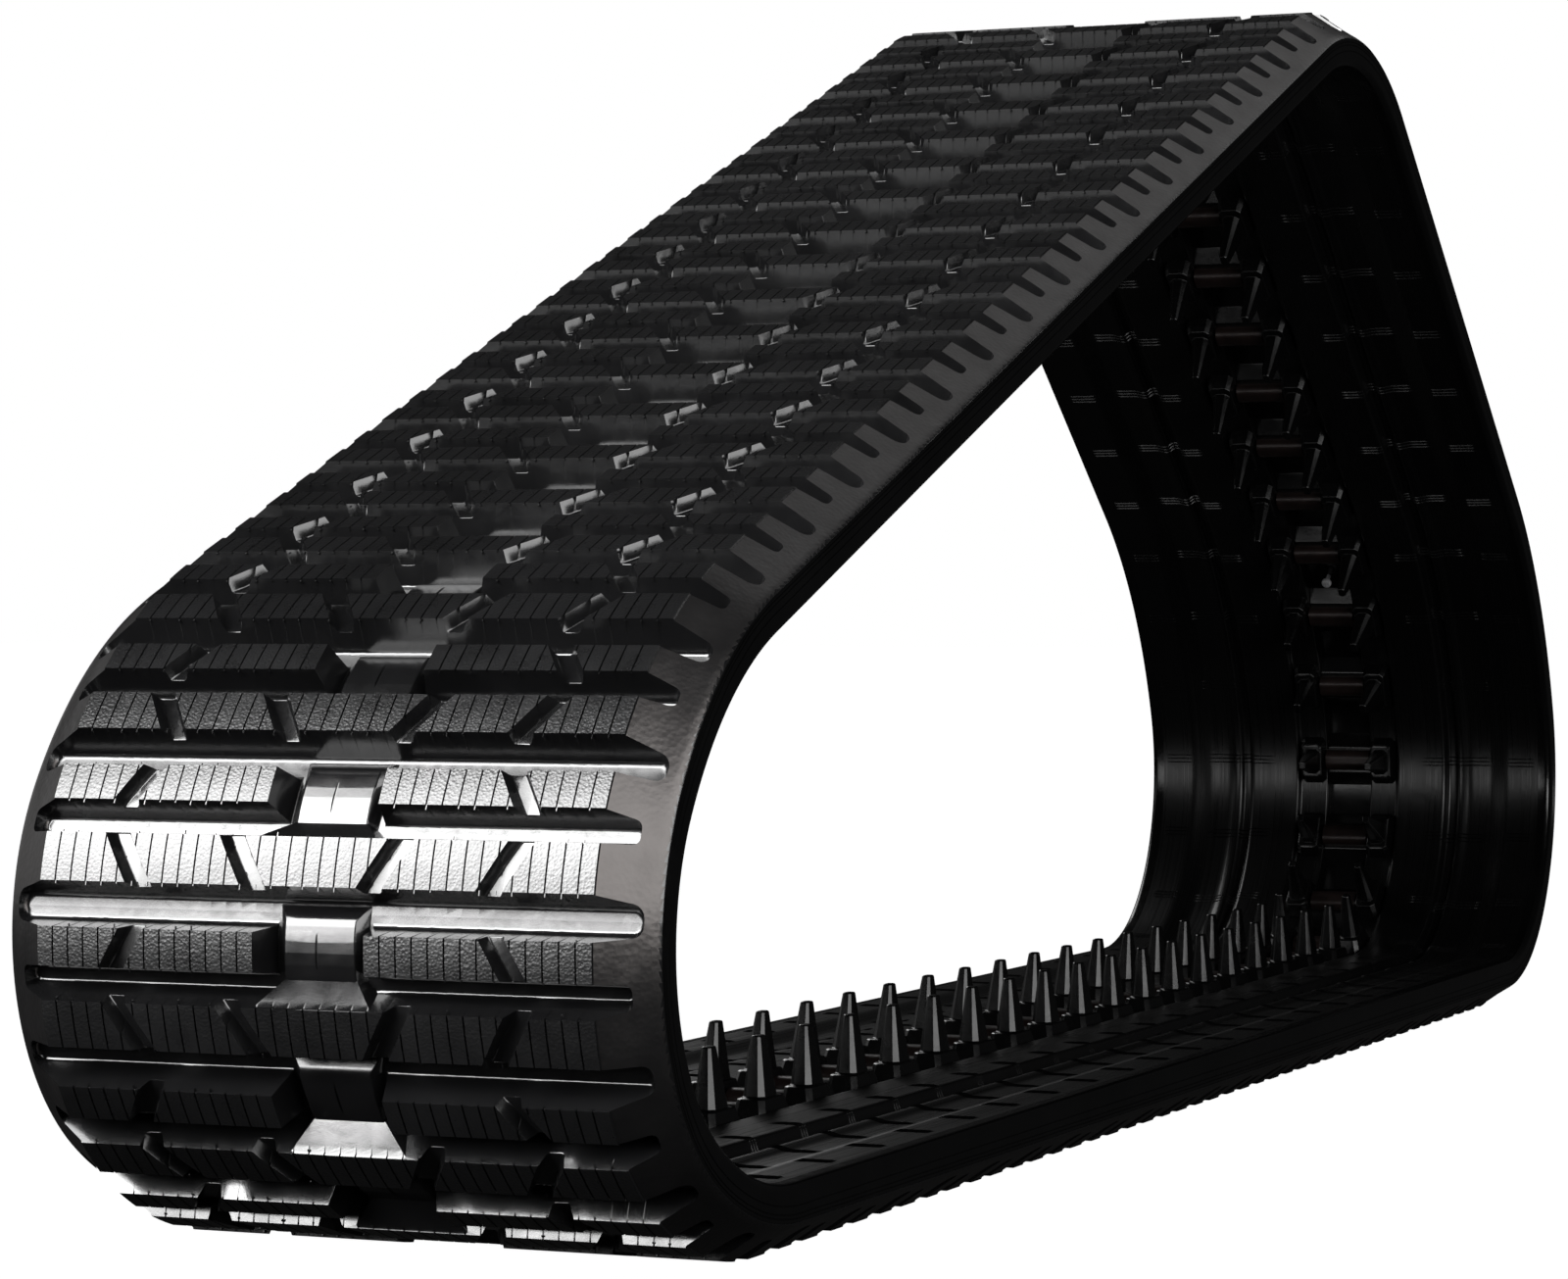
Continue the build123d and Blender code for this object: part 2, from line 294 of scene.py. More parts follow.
def metal(name, dark, light, rough, metallic, scale):
    material, nodes, links, shader = tree_of(name)
    where = nodes.new("ShaderNodeTexCoord").outputs["Object"]
    stain = noise(nodes, links, where, scale, 6.0, 0.65, 0.5)
    links.new(tint(nodes, links, stain, dark, light), shader.inputs["Base Color"])
    worn = noise(nodes, links, where, scale * 4, 5.0)
    links.new(spread(nodes, links, worn, *rough), shader.inputs["Roughness"])
    shader.inputs["Metallic"].default_value = metallic
    pits = noise(nodes, links, where, scale * 12, 4.0, 0.6)
    links.new(bumped(nodes, links, pits, 0.00015), shader.inputs["Normal"])
    return material


def woven(name, dark, light, scale):
    """Crossed threads, seen only where a layer is cut open."""
    material, nodes, links, shader = tree_of(name)
    where = nodes.new("ShaderNodeTexCoord").outputs["Object"]
    threads = []
    for axis in ("X", "Y"):
        wave = nodes.new("ShaderNodeTexWave")
        wave.bands_direction = axis
        wave.inputs["Scale"].default_value = scale
        wave.inputs["Distortion"].default_value = 0.4
        links.new(where, wave.inputs["Vector"])
        threads.append(wave.outputs["Fac"])
    cross = nodes.new("ShaderNodeMath")
    cross.operation = "MULTIPLY"
    links.new(threads[0], cross.inputs[0])
    links.new(threads[1], cross.inputs[1])
    height = cross.outputs["Value"]
    links.new(tint(nodes, links, height, dark, light), shader.inputs["Base Color"])
    links.new(spread(nodes, links, height, 0.55, 0.8), shader.inputs["Roughness"])
    links.new(bumped(nodes, links, height, 0.0003), shader.inputs["Normal"])
    return material


BLACK = (0.0018, 0.0018, 0.0019)
SOFT_BLACK = (0.0036, 0.0036, 0.0038)
WARM = (1.0, 0.93, 0.9, 1.0)

gloss = rubber("gloss_rubber", BLACK, SOFT_BLACK, (0.14, 0.24), (55.0, 0.00015))
grained = rubber("grained_rubber", BLACK, SOFT_BLACK, (0.25, 0.33), (60.0, 0.00006), (560.0, 0.00015))
satin = rubber("satin_rubber", BLACK, SOFT_BLACK, (0.27, 0.37), (50.0, 0.0002), (300.0, 0.0001))
satin.node_tree.nodes["Principled BSDF"].inputs["Specular Tint"].default_value = WARM
inner = streaked_rubber("inner_rubber", BLACK, SOFT_BLACK, (0.24, 0.36))
horn_rubber = rubber("horn_rubber", BLACK, SOFT_BLACK, (0.2, 0.3), (120.0, 0.00008))
core_steel = metal("primed_steel", (0.013, 0.008, 0.0075), (0.03, 0.019, 0.017), (0.3, 0.45), 0.3, 60.0)
zinc = metal("zinc", (0.7, 0.71, 0.73), (0.86, 0.87, 0.89), (0.2, 0.35), 0.35, 300.0)
cord_steel = metal("cord_steel", (0.3, 0.24, 0.14), (0.5, 0.42, 0.28), (0.3, 0.45), 1.0, 200.0)
ply = woven("ply_fabric", (0.02, 0.018, 0.016), (0.06, 0.055, 0.05), 120.0)


# ---- solid modelling in flat millimetres -----------------------------------------------------
MIRROR = Matrix.Scale(-1, 4, (0, 1, 0))     # the left side to the right side
CUT_GAP = 1e-5
WELD = 0.004


def object_from(bm, name):
    mesh = bpy.data.meshes.new(name)
    bm.to_mesh(mesh)
    bm.free()
    made = bpy.data.objects.new(name, mesh)
    bpy.context.scene.collection.objects.link(made)
    return made


def hull(points, name="tool"):
    """The convex solid round some points."""
    bm = bmesh.new()
    for point in points:
        bm.verts.new(point)
    result = bmesh.ops.convex_hull(bm, input=bm.verts)
    left_over = result["geom_interior"] + result["geom_unused"]
    spare = {v for v in left_over if isinstance(v, bmesh.types.BMVert)}
    bmesh.ops.delete(bm, geom=list(spare), context="VERTS")
    bmesh.ops.dissolve_limit(bm, angle_limit=0.002, verts=bm.verts, edges=bm.edges)
    bmesh.ops.recalc_face_normals(bm, faces=bm.faces)
    return object_from(bm, name)


def prism(outline, start, end, name):
    """An outline of (across, inwards) points, carried along the belt."""
    bm = bmesh.new()
    near = [bm.verts.new((start, y, z)) for y, z in outline]
    far = [bm.verts.new((end, y, z)) for y, z in outline]
    bm.faces.new(near)
    bm.faces.new(far[::-1])
    for index in range(len(outline)):
        after = (index + 1) % len(outline)
        bm.faces.new((near[index], far[index], far[after], near[after]))
    bmesh.ops.recalc_face_normals(bm, faces=bm.faces)
    return object_from(bm, name)


def rounded(made, size, segments, chosen):
    """Rounds the edges that chosen(edge) picks."""
    bm = bmesh.new()
    bm.from_mesh(made.data)
    edges = [edge for edge in bm.edges if len(edge.link_faces) == 2 and chosen(edge)]
    bmesh.ops.bevel(bm, geom=edges, offset=size, segments=segments, profile=0.5,
                    affect="EDGES", clamp_overlap=True)
    bm.to_mesh(made.data)
    bm.free()
    return made


def combine(base, tool, operation="DIFFERENCE"):
    """Cuts a tool from a piece, or joins it on, and removes the tool."""
    modifier = base.modifiers.new("combine", "BOOLEAN")
    modifier.operation = operation
    modifier.solver = "EXACT"
    modifier.object = tool
    depsgraph = bpy.context.evaluated_depsgraph_get()
    mesh = bpy.data.meshes.new_from_object(base.evaluated_get(depsgraph))
    base.modifiers.clear()
    base.data = mesh
    bpy.data.objects.remove(tool)
    return base


def below(level):
    """Picks the edges that lie inwards of a level."""
    return lambda edge: min(v.co.z for v in edge.verts) > level


def round_corners(start, end, low, high, z, radius):
    """The corners of a rectangle along and across the belt, each rounded with five points."""
    points = []
    for s, into in ((start, 1), (end, -1)):
        for y, up in ((low, 1), (high, -1)):
            for k in range(5):
                angle = math.pi / 8 * k
                points.append((s + into * radius * (1 - math.cos(angle)),
                               y + up * radius * (1 - math.sin(angle)), z))
    return points


def groove(floor, top, reach, corner, size):
    """A groove cutter: floor and top are (start, end) along the belt, reach is across it.

    corner is the radius in plan at the floor, and size the fillet round the floor."""
    points = round_corners(*floor, *reach[0], FLOOR, corner)
    points += round_corners(*top, *reach[1], ROOF, corner + 2.0)
    return rounded(hull(points), size, 3, below(FLOOR - 0.01))


# ---- the tread -----------------------------------------------------------------------------
FULL_TOP, FULL_FOOT = 12.5, 17.5
SPLIT_TOP, SPLIT_FOOT = 10.0, 13.5
BLOCK_END = 180.0
SKIN = 1.0                          # rubber under the groove floors that belongs to the bars
HEIGHT = FLOOR - LUG_TOP
SIPE_SPACING = 10.3
SIPE_HALF = 0.55
SIPE_DEPTH = 1.7
NOTCH_HALF, NOTCH_FLOOR_HALF = 9.6, 5.2
NOTCH_FLOOR = -19.0
NOTCH_LEAN = 8.5
FULL_NOTCHES = (123.0, 46.5)
SPLIT_NOTCH = 124.0
EDGE_ROUND = 0.55
MOUTH_ROUND = 1.6

long_floor = (FULL_FOOT, SPLIT_OFFSET - SPLIT_FOOT)
short_floor = (SPLIT_OFFSET + SPLIT_FOOT, PITCH - FULL_FOOT)
full_draft = (FULL_FOOT - FULL_TOP) / HEIGHT * (FLOOR - ROOF)
split_draft = (SPLIT_FOOT - SPLIT_TOP) / HEIGHT * (FLOOR - ROOF)
long_top = (long_floor[0] - full_draft, long_floor[1] + split_draft)
short_top = (short_floor[0] - split_draft, short_floor[1] + full_draft)
LONG_CORNER, SHORT_CORNER = 6.0, 3.2
LONG_FILLET, SHORT_FILLET = 2.6, 1.7
LONG_REACH = ((-202.5, 202.5), (-210.5, 210.5))
SHORT_REACH = ((-195.5, 195.5), (-203.5, 203.5))
PIT_REACH = ((-31, 31), (-37, 37))      # the gap between split bars, over a sprocket window

SHOULDER = [(BLOCK_END, LUG_TOP), (BLOCK_END + 0.5, LUG_TOP + 1.3), (188.0, -21.6), (196.0, -16.0),
            (203.0, -11.6), (208.0, -8.6), (211.2, -6.3), (HALF_WIDTH, -4.4)]


def moved(span, offset):
    return (span[0] - offset, span[1] - offset)


def notch(y, lean, reach):
    """A slanted notch across a bar: y at the bar's middle, lean at its far top edge."""
    slope = lean / FULL_TOP
    points = []
    for s in (-reach, reach):
        for side in (-1, 1):
            points.append((s, y + slope * s + side * NOTCH_HALF, ROOF))
            points.append((s, y + slope * s + side * NOTCH_FLOOR_HALF, NOTCH_FLOOR))
    return rounded(hull(points), 1.2, 2, below(NOTCH_FLOOR - 0.01))


def sharp(edge, limit=math.radians(38)):
    """Whether the faces beside an edge turn by more than the limit."""
    return edge.calc_face_angle(0) > limit


def tread_edges(start, end):
    """Picks the sharp edges of a bar that aren't on its cut ends or at its bottom."""
    def chosen(edge):
        s = [v.co.x for v in edge.verts]
        z = [v.co.z for v in edge.verts]
        on_end = any(all(abs(value - side) < 0.01 for value in s) for side in (start, end))
        return sharp(edge) and not on_end and max(z) < FLOOR - 0.3
    return chosen


def sliced(bm, plane_points, normal):
    """Cuts new edges into the faces where planes cross them."""
    for point in plane_points:
        bmesh.ops.bisect_plane(bm, geom=list(bm.verts) + list(bm.edges) + list(bm.faces),
                               dist=CUT_GAP, plane_co=point, plane_no=normal)


def sipe_places(first, last):
    """Where the sipes lie across the belt, clear of a block's ends."""
    count = int((last - first) / SIPE_SPACING) + 2
    begin = math.ceil(first / SIPE_SPACING - 0.5)
    places = [(begin + k + 0.5) * SIPE_SPACING for k in range(count)]
    return [y for y in places if first + 3 < y < last - 3]


def siped(made, first, last):
    """Thin cuts across the block tops, between first and last across the belt."""
    bm = bmesh.new()
    bm.from_mesh(made.data)
    places = sipe_places(first, last)
    for y in places:
        offsets = (-SIPE_HALF, -SIPE_HALF * 0.55, SIPE_HALF * 0.55, SIPE_HALF)
        sliced(bm, [(0, y + off, 0) for off in offsets], (0, 1, 0))
    for vert in bm.verts:
        if vert.co.z < LUG_TOP + 0.9:
            if any(abs(vert.co.y - y) < SIPE_HALF * 0.7 for y in places):
                vert.co.z += SIPE_DEPTH
    bm.to_mesh(made.data)
    bm.free()
    return made


def finished(made, start, end, step=7.0):
    """Cuts a flat piece into short lengths that can follow the bends, and triangulates it."""
    bm = bmesh.new()
    bm.from_mesh(made.data)
    count = int((end - start) / step)
    cuts = [start + (end - start) * (k + 1) / (count + 1) for k in range(count)]
    sliced(bm, [(s, 0, 0) for s in cuts], (1, 0, 0))
    bmesh.ops.remove_doubles(bm, verts=bm.verts, dist=WELD)
    bmesh.ops.triangulate(bm, faces=bm.faces)
    bm.to_mesh(made.data)
    bm.free()
    return made


def full_bar():
    """One full-width bar, with half of each groove beside it."""
    start = (short_floor[0] + short_floor[1]) / 2 - PITCH
    end = (long_floor[0] + long_floor[1]) / 2
    outline = [(HALF_WIDTH, FLOOR + SKIN)] + SHOULDER[::-1]
    outline = outline + [(-y, z) for y, z in outline[::-1]]
    bar = prism(outline, start, end, "full_bar")
    combine(bar, groove(long_floor, long_top, LONG_REACH, LONG_CORNER, LONG_FILLET))
    before = (moved(short_floor, PITCH), moved(short_top, PITCH))
    combine(bar, groove(*before, SHORT_REACH, SHORT_CORNER, SHORT_FILLET))
    for side in (-1, 1):
        for y in FULL_NOTCHES:
            combine(bar, notch(side * y, -side * NOTCH_LEAN, FULL_FOOT + 4))
    apron = [(-25.5, 22.5, -11.3), (-12.6, 38.0, -26.6), (-25.5, 24.5, FLOOR), (-12.6, 38.0, FLOOR)]
    apron += [(x, -y, z) for x, y, z in apron]
    combine(bar, hull(apron), "UNION")
    rounded(bar, MOUTH_ROUND, 2, mouth)
    rounded(bar, EDGE_ROUND, 2, tread_edges(start, end))
    siped(bar, -BLOCK_END, BLOCK_END)
    with_nubs(bar, FULL_TOP, -BLOCK_END, BLOCK_END, 3)
    return finished(bar, start, end)


def inner_corner(edge):
    """Picks the two upright edges at the inner end of a split bar."""
    a, b = edge.verts[0].co, edge.verts[1].co
    return abs(a.z - b.z) > 10 and max(abs(a.y), abs(b.y)) < 40


def mouth(edge):
    """Picks the edges where a notch's floor runs out over a bar's wall."""
    a, b = edge.verts[0].co, edge.verts[1].co
    level = all(abs(v.z - NOTCH_FLOOR) < 0.5 for v in (a, b))
    return level and sharp(edge) and abs(a.y - b.y) > 5 * abs(a.x - b.x)


def with_nubs(made, half, first, last, seed):
    """Adds the short fins of flash that stand at the ends of most sipes."""
    draw = random.Random(seed)
    bm = bmesh.new()
    bm.from_mesh(made.data)
    for y in sipe_places(first, last):
        for end in (-1, 1):
            if draw.random() > (0.8 if end > 0 else 0.4):
                continue
            reach = draw.uniform(1.0, 2.6)
            size = (0.5 + reach, 0.55, draw.uniform(0.7, 1.5))
            middle = Vector((end * (half + reach / 2 - 0.3), y, LUG_TOP + 0.9 + size[2] / 2))
            fin = bmesh.ops.create_cube(bm, size=1.0)["verts"]
            for vert in fin:
                vert.co = middle + Vector([c * d for c, d in zip(vert.co, size)])
    bm.to_mesh(made.data)
    bm.free()
    return made


def split_bar(side):
    """One split bar on the left (side 1) or right (side -1), with half of each groove beside it."""
    start = (long_floor[0] + long_floor[1]) / 2 - SPLIT_OFFSET
    end = (short_floor[0] + short_floor[1]) / 2 - SPLIT_OFFSET
    outline = [(HALF_WIDTH, FLOOR + SKIN)] + SHOULDER[::-1] + [(0.0, LUG_TOP), (0.0, FLOOR + SKIN)]
    outline = [(side * y, z) for y, z in outline]
    bar = prism(outline, start, end, "split_bar")
    before = (moved(long_floor, SPLIT_OFFSET), moved(long_top, SPLIT_OFFSET))
    after = (moved(short_floor, SPLIT_OFFSET), moved(short_top, SPLIT_OFFSET))
    combine(bar, groove(*before, LONG_REACH, LONG_CORNER, LONG_FILLET))
    combine(bar, groove(*after, SHORT_REACH, SHORT_CORNER, SHORT_FILLET))
    pit = ((-SPLIT_FOOT - 8, SPLIT_FOOT + 8), (-SPLIT_TOP - 9, SPLIT_TOP + 9))
    combine(bar, groove(*pit, PIT_REACH, 0.5, 2.4))
    rounded(bar, 4.0, 3, inner_corner)
    combine(bar, notch(side * SPLIT_NOTCH, side * NOTCH_LEAN, SPLIT_FOOT + 4))
    rounded(bar, MOUTH_ROUND, 2, mouth)
    rounded(bar, EDGE_ROUND, 2, tread_edges(start, end))
    low, high = sorted((side * 37.0, side * BLOCK_END))
    siped(bar, low, high)
    with_nubs(bar, SPLIT_TOP, low, high, 5 + side)
    return finished(bar, start, end)


def window_pad():
    """The low crowned pad that closes a sprocket window, with a small mould slit."""
    foot = [(-26.5, y, FLOOR + 0.6) for y in (-30, 30)] + [(21.0, y, FLOOR + 0.6) for y in (-27, 27)]
    crown = []
    for k in range(7):
        t = k / 6
        s = -16.8 + 36.0 * t
        z = -12.0 - 1.3 * math.sin(math.pi * t)
        crown += [(s, -22.8, z), (s, 22.8, z)]
    pad = rounded(hull(foot + crown, "window_pad"), 0.7, 2, sharp)
    slit = [(10 * math.cos(a), 0.9 * math.sin(a) + 2.0, z) for z in (-15, -12.4)
            for a in [math.pi * k / 6 for k in range(12)]]
    combine(pad, hull(slit))
    return finished(pad, -26.5, 21.0)


# ---- making whole pieces -------------------------------------------------------------------
BEND_STEP, RUN_STEP = 6.0, 40.0     # how often a swept profile is repeated along the belt


def shown(obj, nodes, materials):
    """Rides a finished piece on the track's body, in place of its CAD nodes."""
    for material in materials:
        obj.data.materials.append(material)
    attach(obj, "root")
    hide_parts(*nodes)
    return obj


def smooth(obj, angle=32.0):
    """Shades a piece smooth, except where its faces turn by more than some degrees."""
    obj.data.polygons.foreach_set("use_smooth", np.ones(len(obj.data.polygons), bool))
    obj.data.set_sharp_from_angle(angle=math.radians(angle))
    weighted = obj.modifiers.new("normals", "WEIGHTED_NORMAL")
    weighted.keep_sharp = True
    return obj


def repeated(module, distances, name):
    """Copies of a flat module, wrapped round the loop into one mesh of separate islands."""
    source = module.data
    count = len(source.vertices)
    verts = np.empty(count * 3)
    source.vertices.foreach_get("co", verts)
    verts = verts.reshape(-1, 3)
    corners = np.empty(len(source.loops), int)
    source.loops.foreach_get("vertex_index", corners)
    kinds = np.empty(len(source.polygons), int)
    source.polygons.foreach_get("material_index", kinds)
    laid = [wrap(verts + (distance, 0.0, 0.0)) for distance in distances]
    corners = np.concatenate([corners + count * k for k in range(len(distances))])
    faces = corners.reshape(-1, 3)
    mesh = bpy.data.meshes.new(name)
    mesh.from_pydata(np.concatenate(laid), [], faces)
    mesh.polygons.foreach_set("material_index", np.tile(kinds, len(distances)))
    mesh.update()
    bpy.data.objects.remove(module)
    made = bpy.data.objects.new(name, mesh)
    bpy.context.scene.collection.objects.link(made)
    return smooth(made)


def tread_materials(module):
    """Face kinds of a bar: 0 glossy walls and floors, 1 grained tops, 2 satin shoulders."""
    for face in module.data.polygons:
        centre = face.center
        if face.normal.z < -0.95 and centre.z < LUG_TOP + 0.2:
            face.material_index = 1
        elif abs(centre.y) > BLOCK_END + 0.4 and centre.z < FLOOR - 0.6 and -0.97 < face.normal.z < -0.4:
            if abs(face.normal.y) > 0.3 and abs(face.normal.x) < 0.3:
                face.material_index = 2
    return module


def swept(profile, name):
    """A closed profile of (across, inwards) points, carried all round the loop."""
    stops = []
    for index, (length, turn) in enumerate(SEGMENTS):
        count = max(2, int(length / (BEND_STEP if turn else RUN_STEP)))
        stops += list(STARTS[index] + length * np.arange(count) / count)
    stops = np.array(stops)
    profile = np.array(profile, float)
    n, m = len(stops), len(profile)
    points = np.empty((n, m, 3))
    points[:, :, 0] = stops[:, None]
    points[:, :, 1:] = profile[None]
    i, j = np.meshgrid(np.arange(n), np.arange(m), indexing="ij")
    after, beside = (i + 1) % n, (j + 1) % m
    quads = np.stack([i * m + j, after * m + j, after * m + beside, i * m + beside], axis=-1)
    mesh = bpy.data.meshes.new(name)
    mesh.from_pydata(wrap(points.reshape(-1, 3)), [], quads.reshape(-1, 4))
    bm = bmesh.new()
    bm.from_mesh(mesh)
    bmesh.ops.recalc_face_normals(bm, faces=bm.faces)
    bm.to_mesh(mesh)
    bm.free()
    made = bpy.data.objects.new(name, mesh)
    bpy.context.scene.collection.objects.link(made)
    return smooth(made, 50.0)


rows = [FIRST_ROW + PITCH * k for k in range(PITCH_COUNT)]
split_rows = [distance + SPLIT_OFFSET for distance in rows]
cores = [distance + CORE_OFFSET for distance in rows]
tread = [gloss, grained, satin]

shown(repeated(tread_materials(full_bar()), rows, "tread_bars_full"),
      ["full_tread_bars"], tread)
for side, word in ((1, "left"), (-1, "right")):
    shown(repeated(tread_materials(split_bar(side)), split_rows, "tread_bars_split_" + word),
          ["split_tread_bars_" + word], tread)
shown(repeated(window_pad(), split_rows, "pads_under_windows"), ["window_pads"], [gloss])
base = [(-200, FLOOR + 0.25), (200, FLOOR + 0.25), (200, -3.0), (-200, -3.0)]
shown(swept(base, "base_of_tread"), ["tread_base"], [gloss])

# ---- rims and inner side ---------------------------------------------------------------------
def rim(side):
    """The rim's profile, with three fine grooves in its side face."""
    outline = [(200.0, FLOOR + 0.3), (211.0, FLOOR + 0.3), (212.0, -4.2), (HALF_WIDTH, -3.2)]
    for z in (-1.2, 1.4, 6.5):
        outline += [(HALF_WIDTH, z - 0.5), (HALF_WIDTH - 0.6, z - 0.15)]
        outline += [(HALF_WIDTH - 0.6, z + 0.15), (HALF_WIDTH, z + 0.5)]
    outline += [(HALF_WIDTH, 14.5), (212.1, 16.6), (210.9, 18.6), (209.0, 19.7)]
    outline += [(206.5, 20.0), (200.0, 20.0)]
    return [(side * y, z) for y, z in outline]


COVER = [(23.0, 13.8), (23.9, 14.8), (25.0, 15.0), (49.0, 15.0), (50.6, 15.5), (51.6, 17.2), (52.4, 19.6),
         (53.6, 20.8), (55.5, 21.0), (99.5, 21.0), (101.8, 20.6), (103.2, 19.2), (104.0, 16.6),
         (104.9, 12.9), (106.0, 11.6), (107.6, 11.2), (112.0, 11.3), (113.8, 12.3), (115.0, 14.6),
         (116.4, 16.0), (118.6, 16.5), (122.5, 16.2), (125.6, 15.0), (128.5, 14.3), (132.0, 14.1),
         (147.0, 14.1), (151.0, 14.5), (157.0, 16.2), (163.0, 18.3), (168.0, 19.6), (172.0, 20.0),
         (200.0, 20.0)]


def cover(side):
    """The closed profile of an inner cover."""
    return [(side * y, z) for y, z in [(23.0, 10.0)] + COVER + [(200.0, 10.0)]]


def height_at(y):
    ys, zs = zip(*COVER)
    return float(np.interp(y, ys, zs))


RIB_STEPS = 24


def rib(side, start, end, along):
    """A hair-thin rib across the inner cover, as one closed strip."""
    places = [start + (end - start) * k / RIB_STEPS for k in range(RIB_STEPS + 1)]
    points = []
    for k, y in enumerate(places):
        rise = 0.8 * min(1.0, min(k, RIB_STEPS - k) / 3)
        for off, lift in ((-0.9, -0.4), (0.0, rise), (0.9, -0.4)):
            points.append((along + off, side * y, height_at(y) + lift))
    faces = []
    for k in range(RIB_STEPS):
        a, b = 3 * k, 3 * k + 3
        for i, j in ((0, 1), (1, 2), (2, 0)):
            faces += [(a + i, a + j, b + j), (a + i, b + j, b + i)]
    last = 3 * RIB_STEPS
    faces += [(0, 2, 1), (last, last + 1, last + 2)]
    return points, faces


def ribs(side):
    """The two sets of three ribs that cross an inner cover beside a core."""
    points, faces = [], []
    for start, end in ((78.0, 152.0), (168.0, 196.0)):
        for along in (-4.2, 0.0, 4.2):
            made, shape = rib(side, start, end, along)
            faces += [tuple(v + len(points) for v in face) for face in shape]
            points += made
    mesh = bpy.data.meshes.new("ribs")
    mesh.from_pydata(points, [], faces)
    bm = bmesh.new()
    bm.from_mesh(mesh)
    bmesh.ops.recalc_face_normals(bm, faces=bm.faces)
    bm.to_mesh(mesh)
    bm.free()
    made = bpy.data.objects.new("ribs", mesh)
    bpy.context.scene.collection.objects.link(made)
    return made


def chamfered(size, corner, z):
    """The eight corners of a chamfered rectangle, (inner, outer, half length) in size."""
    y0, y1, half = size
    points = []
    for sx in (-1, 1):
        for y, into in ((y0, 1), (y1, -1)):
            points.append((sx * (half - corner), y, z))
            points.append((sx * half, y + into * corner, z))
    return points


def guide_horn(side):
    """A guide horn: a broad chamfered foot with a tapered spike on it."""
    foot = chamfered((24.0, 50.0, 26.0), 4.0, 13.0) + chamfered((24.0, 50.0, 26.0), 4.0, 15.0)
    foot += chamfered((26.0, 47.0, 21.5), 4.0, 28.0) + chamfered((27.5, 45.5, 19.0), 4.0, 29.0)
    spike = chamfered((27.5, 44.5, 15.0), 4.2, 28.0) + chamfered((31.0, 38.2, 6.2), 1.9, 70.2)
    spike += chamfered((31.6, 37.6, 5.5), 1.7, 71.0)
    horn = combine(hull(foot, "horn"), hull(spike), "UNION")
    rounded(horn, 0.6, 2, lambda edge: sharp(edge, math.radians(25)))
    if side < 0:
        horn.data.transform(MIRROR)
        horn.data.flip_normals()
    return finished(horn, -26.0, 26.0, 9.0)


def bridge_skirt():
    """The rubber that wraps the foot of a core's bridge."""
    foot = [(s, y, 1.8) for s in (-28, 28) for y in (-23, 23)]
    middle = [(s, y, 4.0) for s in (-25, 25) for y in (-23, 23)]
    top = [(s, y, 13.0) for s in (-14.5, 14.5) for y in (-23, 23)]
    ledge = hull(foot + middle + top, "skirt")
    rounded(ledge, 1.0, 2, lambda edge: sharp(edge, math.radians(30)))
    return finished(ledge, -28.0, 28.0)


for side, word in ((1, "left"), (-1, "right")):
    shown(swept(rim(side), "rim_" + word), ["edge_wall_" + word], [gloss])
    body = swept(cover(side), "cover_" + word)
    lines = repeated(finished(ribs(side), -5.0, 5.0, 20.0), cores, "ribs_" + word)
    with bpy.context.temp_override(active_object=body, selected_editable_objects=[body, lines]):
        bpy.ops.object.join()
    shown(body, ["inner_cover_" + word], [inner])
    horn = repeated(guide_horn(side), cores, "horns_" + word)
    shown(horn, ["guide_horns_" + word], [horn_rubber])

floor_strip = [(-23.2, -1.0), (23.2, -1.0), (23.2, 2.0), (-23.2, 2.0)]
shown(swept(floor_strip, "window_floors"), ["window_membrane"], [gloss])
skirts = repeated(bridge_skirt(), cores, "skirts_of_bridges")
shown(skirts, ["bridge_skirts"], [horn_rubber])

for node, material in (("steel_cores", core_steel), ("window_stud", zinc), ("bias_ply", ply),
                       ("cord_belt_left", cord_steel), ("cord_belt_right", cord_steel),
                       ("core_cushion_left", inner), ("core_cushion_right", inner)):
    data = frame["nodes"][node].data
    data.materials.clear()
    data.materials.append(material)

# ---- floor and light ------------------------------------------------------------------------
def floor_material():
    material, nodes, links, shader = tree_of("pale_floor")
    where = nodes.new("ShaderNodeTexCoord").outputs["Object"]
    cloud = noise(nodes, links, where, 2.0)
    colour = tint(nodes, links, cloud, (0.84, 0.84, 0.84), (0.87, 0.87, 0.87))
    links.new(colour, shader.inputs["Base Color"])
    shader.inputs["Roughness"].default_value = 0.75
    shader.inputs["Emission Color"].default_value = (1, 1, 1, 1)
    shader.inputs["Emission Strength"].default_value = 1.0
    return material


bm = bmesh.new()
bmesh.ops.create_grid(bm, x_segments=8, y_segments=8, size=40.0)
floor = object_from(bm, "floor")
floor.location.z = cad_low.z
floor.data.materials.append(floor_material())
floor.visible_glossy = False
floor.visible_diffuse = False

SKY_SEEN = 1.0                      # the white background that the camera sees
SKY_LIGHT = 0.012                   # what the same sky gives as light and in reflections

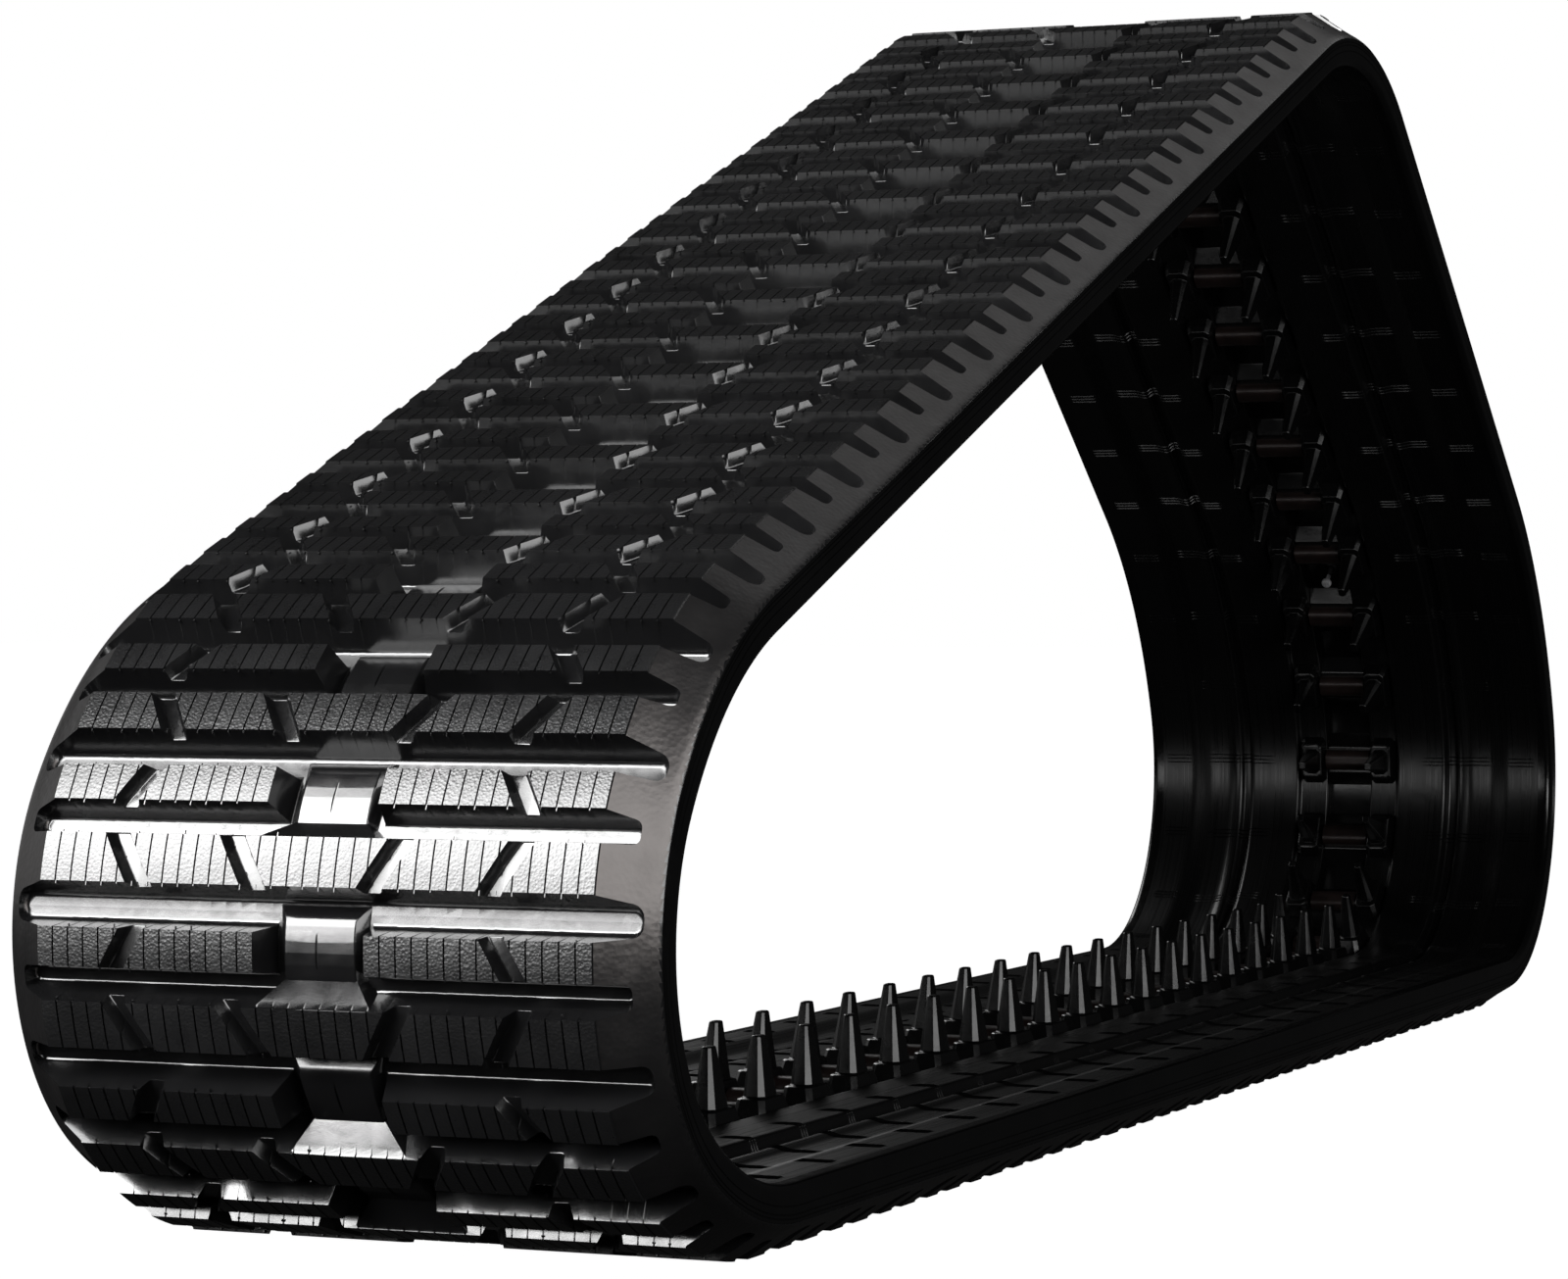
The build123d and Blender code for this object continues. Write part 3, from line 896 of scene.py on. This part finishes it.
world = bpy.data.worlds.new("studio")
bpy.context.scene.world = world
world.use_nodes = True
world_nodes, world_links = world.node_tree.nodes, world.node_tree.links
seen = world_nodes.new("ShaderNodeBackground")
seen.inputs["Strength"].default_value = SKY_SEEN
seen.inputs["Color"].default_value = (1, 1, 1, 1)
lit = world_nodes["Background"]
lit.inputs["Color"].default_value = (1, 1, 1, 1)
lit.inputs["Strength"].default_value = SKY_LIGHT
path = world_nodes.new("ShaderNodeLightPath")
mix = world_nodes.new("ShaderNodeMixShader")
world_links.new(path.outputs["Is Camera Ray"], mix.inputs["Fac"])
world_links.new(lit.outputs["Background"], mix.inputs[1])
world_links.new(seen.outputs["Background"], mix.inputs[2])
world_links.new(mix.outputs["Shader"], world_nodes["World Output"].inputs["Surface"])


def softbox(name, target, azimuth, elevation, distance, size, radiance, pieces=None, grid=None):
    """A panel of (width, height) that faces a point, seen from it at the two angles in degrees.

    grid is (dip below that, spread) of a honeycomb grid in front of it."""
    data = bpy.data.lights.new(name, "AREA")
    data.shape = "RECTANGLE"
    data.size, data.size_y = size
    data.energy = radiance * math.pi * size[0] * size[1]
    lamp = bpy.data.objects.new(name, data)
    bpy.context.scene.collection.objects.link(lamp)
    turn, rise = math.radians(azimuth), math.radians(elevation)
    away = Vector((math.cos(turn) * math.cos(rise), math.sin(turn) * math.cos(rise), math.sin(rise)))
    lamp.location = Vector(target) + away * distance
    lamp.rotation_mode = "QUATERNION"
    facing = away
    if grid:
        data.spread = math.radians(grid[1])
        dip = math.radians(elevation + grid[0])
        facing = Vector((math.cos(turn) * math.cos(dip), math.sin(turn) * math.cos(dip), math.sin(dip)))
    lamp.rotation_quaternion = facing.to_track_quat("Z", "Y")
    lamp.visible_camera = False
    if pieces:
        lamp.light_linking.receiver_collection = pieces


def group_of(name, words):
    """The pieces whose names start with one of the words."""
    group = bpy.data.collections.new(name)
    for piece in bpy.context.scene.collection.all_objects:
        if piece.type == "MESH" and piece.name.startswith(words):
            group.objects.link(piece)
    return group


OUTSIDE = ("tread_bars", "pads_under", "base_of_tread")
INSIDE = ("cover", "rim", "horns", "window", "skirts", "steel_cores", "core_cushion")
outside = group_of("outside_pieces", OUTSIDE)
inside = group_of("inside_pieces", INSIDE)

# Points that the lamps face, on the front bend, the top run, the rear bend and the ground run.
front = Vector((cad_low.x + 0.05, 0.0, cad_low.z + 0.24))
shoulder = Vector((cad_low.x + 0.05, -0.2, cad_low.z + 0.25))
notches = Vector((cad_low.x + 0.35, -0.05, cad_low.z + 0.5))
run = Vector((0.0, -0.2, cad_low.z + 0.7))
rear = Vector((cad_high.x - 0.1, 0.0, cad_low.z + 0.25))
horns = Vector((0.0, 0.0, cad_low.z + 0.1))

# Name, target, azimuth, elevation, distance, size and radiance of each lamp, and what it lights.
softbox("key", front, 144.0, 31.5, 6.0, (4.8, 5.3), 3.9, outside, grid=(0.0, 60.0))
softbox("low", front, 150.0, 4.7, 6.0, (4.1, 1.0), 5.0, outside, grid=(22.0, 50.0))
softbox("wall_fill", run, 156.0, -7.0, 3.0, (1.2, 0.6), 1.2, outside)
softbox("right", shoulder, -119.5, 28.0, 2.2, (2.75, 2.1), 7.5, outside)
softbox("sliver", notches, -38.0, 9.0, 2.4, (1.0, 0.5), 0.3, outside, grid=(0.0, 40.0))
softbox("overhead", run, -14.0, 47.0, 2.5, (0.9, 2.0), 0.5, outside)
softbox("behind", run, 26.5, 34.3, 12.0, (2.1, 1.7), 0.05, outside)
softbox("left", front, 78.0, 8.0, 2.4, (3.0, 0.7), 0.4)
softbox("rear_low", rear, 24.0, 3.0, 2.2, (1.9, 0.4), 6.0, outside)
softbox("rear_right", rear, -60.0, 8.0, 3.0, (1.6, 0.9), 0.12, outside, grid=(0.0, 40.0))
softbox("glow", rear, 167.0, -1.0, 4.0, (2.0, 0.9), 2.1, inside)
softbox("inner_right", horns, -118.0, 12.0, 2.4, (2.4, 0.7), 4.5, inside)
softbox("inner_left", horns, 50.0, 29.0, 2.5, (1.5, 0.9), 3.5, inside)

bpy.context.scene.view_settings.view_transform = "Standard"
